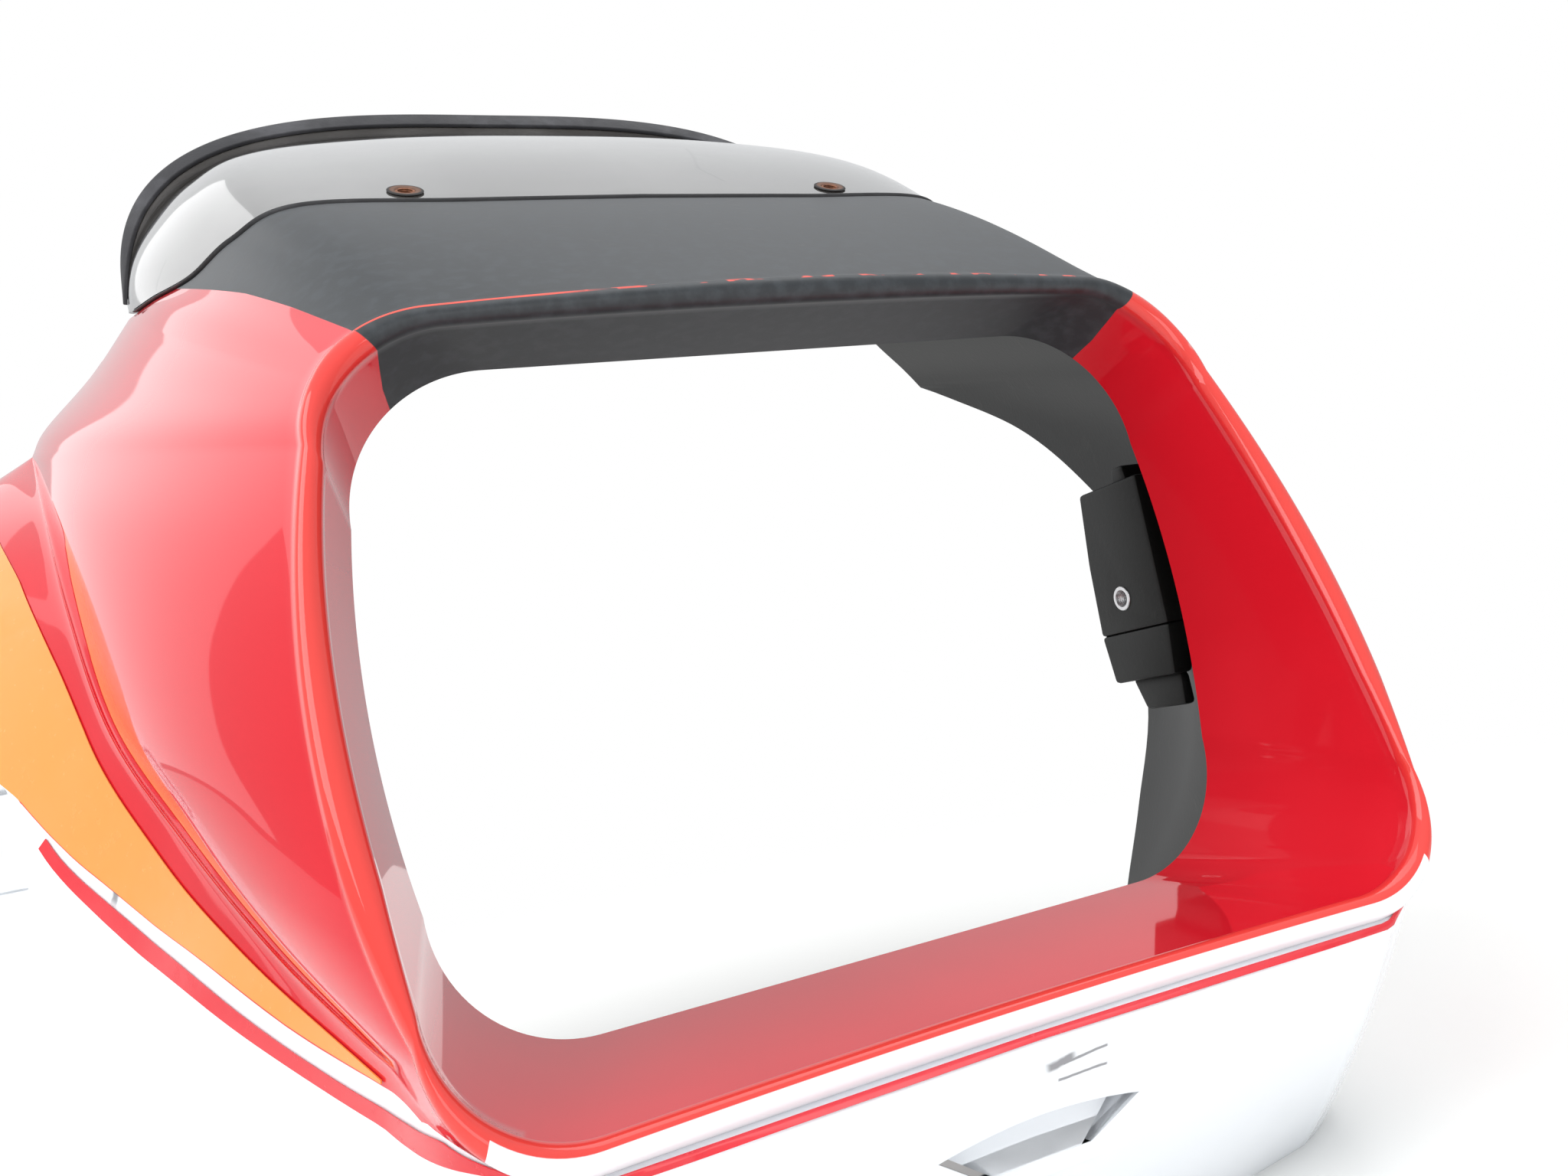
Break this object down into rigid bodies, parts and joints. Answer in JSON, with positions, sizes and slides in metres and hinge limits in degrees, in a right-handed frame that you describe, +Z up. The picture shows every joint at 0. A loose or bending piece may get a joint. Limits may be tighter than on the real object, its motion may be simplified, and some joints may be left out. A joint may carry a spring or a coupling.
{
  "type": "motorcycle cockpit fairing",
  "caption": "Bikini fairing with a rectangular headlight opening, a smoked windscreen with rubber edge trim, tape stripes and threaded stay inserts.",
  "frame": {"origin": "on the floor under the middle of the fairing's length and width", "axes": "+X across the bike to the right of someone who looks at the front of it, the front faces -Y, +Z up"},
  "size_m": [0.4996, 0.2958, 0.4012],
  "materials": {
    "shell_plastic": "gloss red paint over a moulded shell, white below and satin black on the brow",
    "smoked_screen": "smoked, scuffed and slightly hazy",
    "cord_rubber": "satin",
    "trim_rubber": "satin",
    "nut_rubber": "matte",
    "rusty_steel": "rusted",
    "pale_metal": "satin",
    "orange_tape": "gloss tape",
    "red_tape": "gloss tape"
  },
  "bodies": {
    "root": {"fairing_shell": "shell_plastic", "windscreen": "smoked_screen", "screen_cord": "cord_rubber", "screen_edge_trim": "trim_rubber", "well_nut_left": "nut_rubber", "well_nut_right": "nut_rubber", "nut_sleeve_left": "rusty_steel", "nut_sleeve_right": "rusty_steel", "stay_insert_left": "pale_metal", "stay_insert_right": "pale_metal", "orange_stripe_left": "orange_tape", "orange_stripe_right": "orange_tape", "red_pinstripe": "red_tape"}
  },
  "joints": []
}
